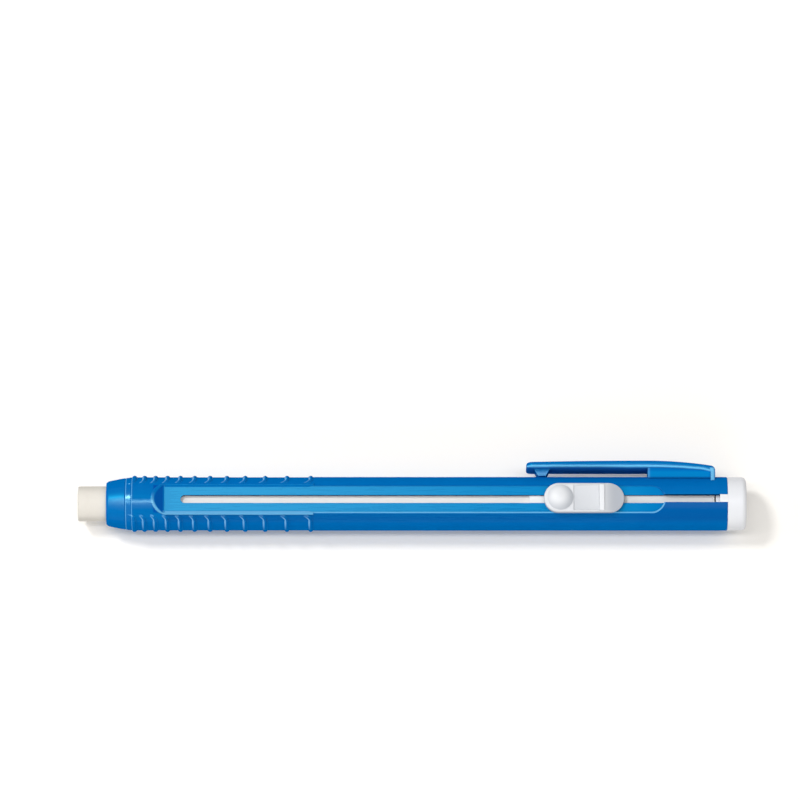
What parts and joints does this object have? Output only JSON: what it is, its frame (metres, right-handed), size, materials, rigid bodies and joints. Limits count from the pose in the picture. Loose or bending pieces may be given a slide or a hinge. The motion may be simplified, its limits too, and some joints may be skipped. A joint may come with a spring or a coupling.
{
  "type": "slide-action eraser holder",
  "caption": "Pen-shaped eraser holder with ribbed grip, thumb slide in a slotted channel, pocket clip, domed end cap and a round eraser stick.",
  "frame": {"origin": "centre of the eraser's tip face, on the barrel's axis, with the slide at its rear stop", "axes": "+X along the barrel towards the end cap, +Z towards the slot and thumb button, +Y towards the pocket clip"},
  "size_m": [0.13, 0.0134, 0.0124],
  "materials": {
    "body": "satin-gloss moulded blue plastic",
    "cap": "cool white moulded plastic",
    "carriage": "grey-white moulded plastic",
    "button": "white moulded plastic, satin",
    "eraser": "matt warm white vinyl"
  },
  "bodies": {
    "holder": {"barrel": "body", "nose_cone": "body", "end_cap": "cap", "clip_base": "body"},
    "clip": {"clip_arm": "body"},
    "slider": {"eraser_carriage": "carriage", "thumb_button": "button"},
    "eraser": {"eraser_stick": "eraser"}
  },
  "joints": [
    {"name": "thumb_slide", "type": "slide", "parent": "holder", "child": "slider", "axis": [-1, 0, 0], "range_m": [0, 0.0708]},
    {"name": "refill_pull", "type": "slide", "parent": "slider", "child": "eraser", "axis": [-1, 0, 0], "range_m": [0, 0.091]},
    {"name": "clip_flex", "type": "hinge", "parent": "holder", "child": "clip", "pos_m": [0.1106, 0.0076, 0], "axis": [0, 0, -1], "range_deg": [0, 4], "stiffness_Nm_per_rad": 0.8}
  ]
}
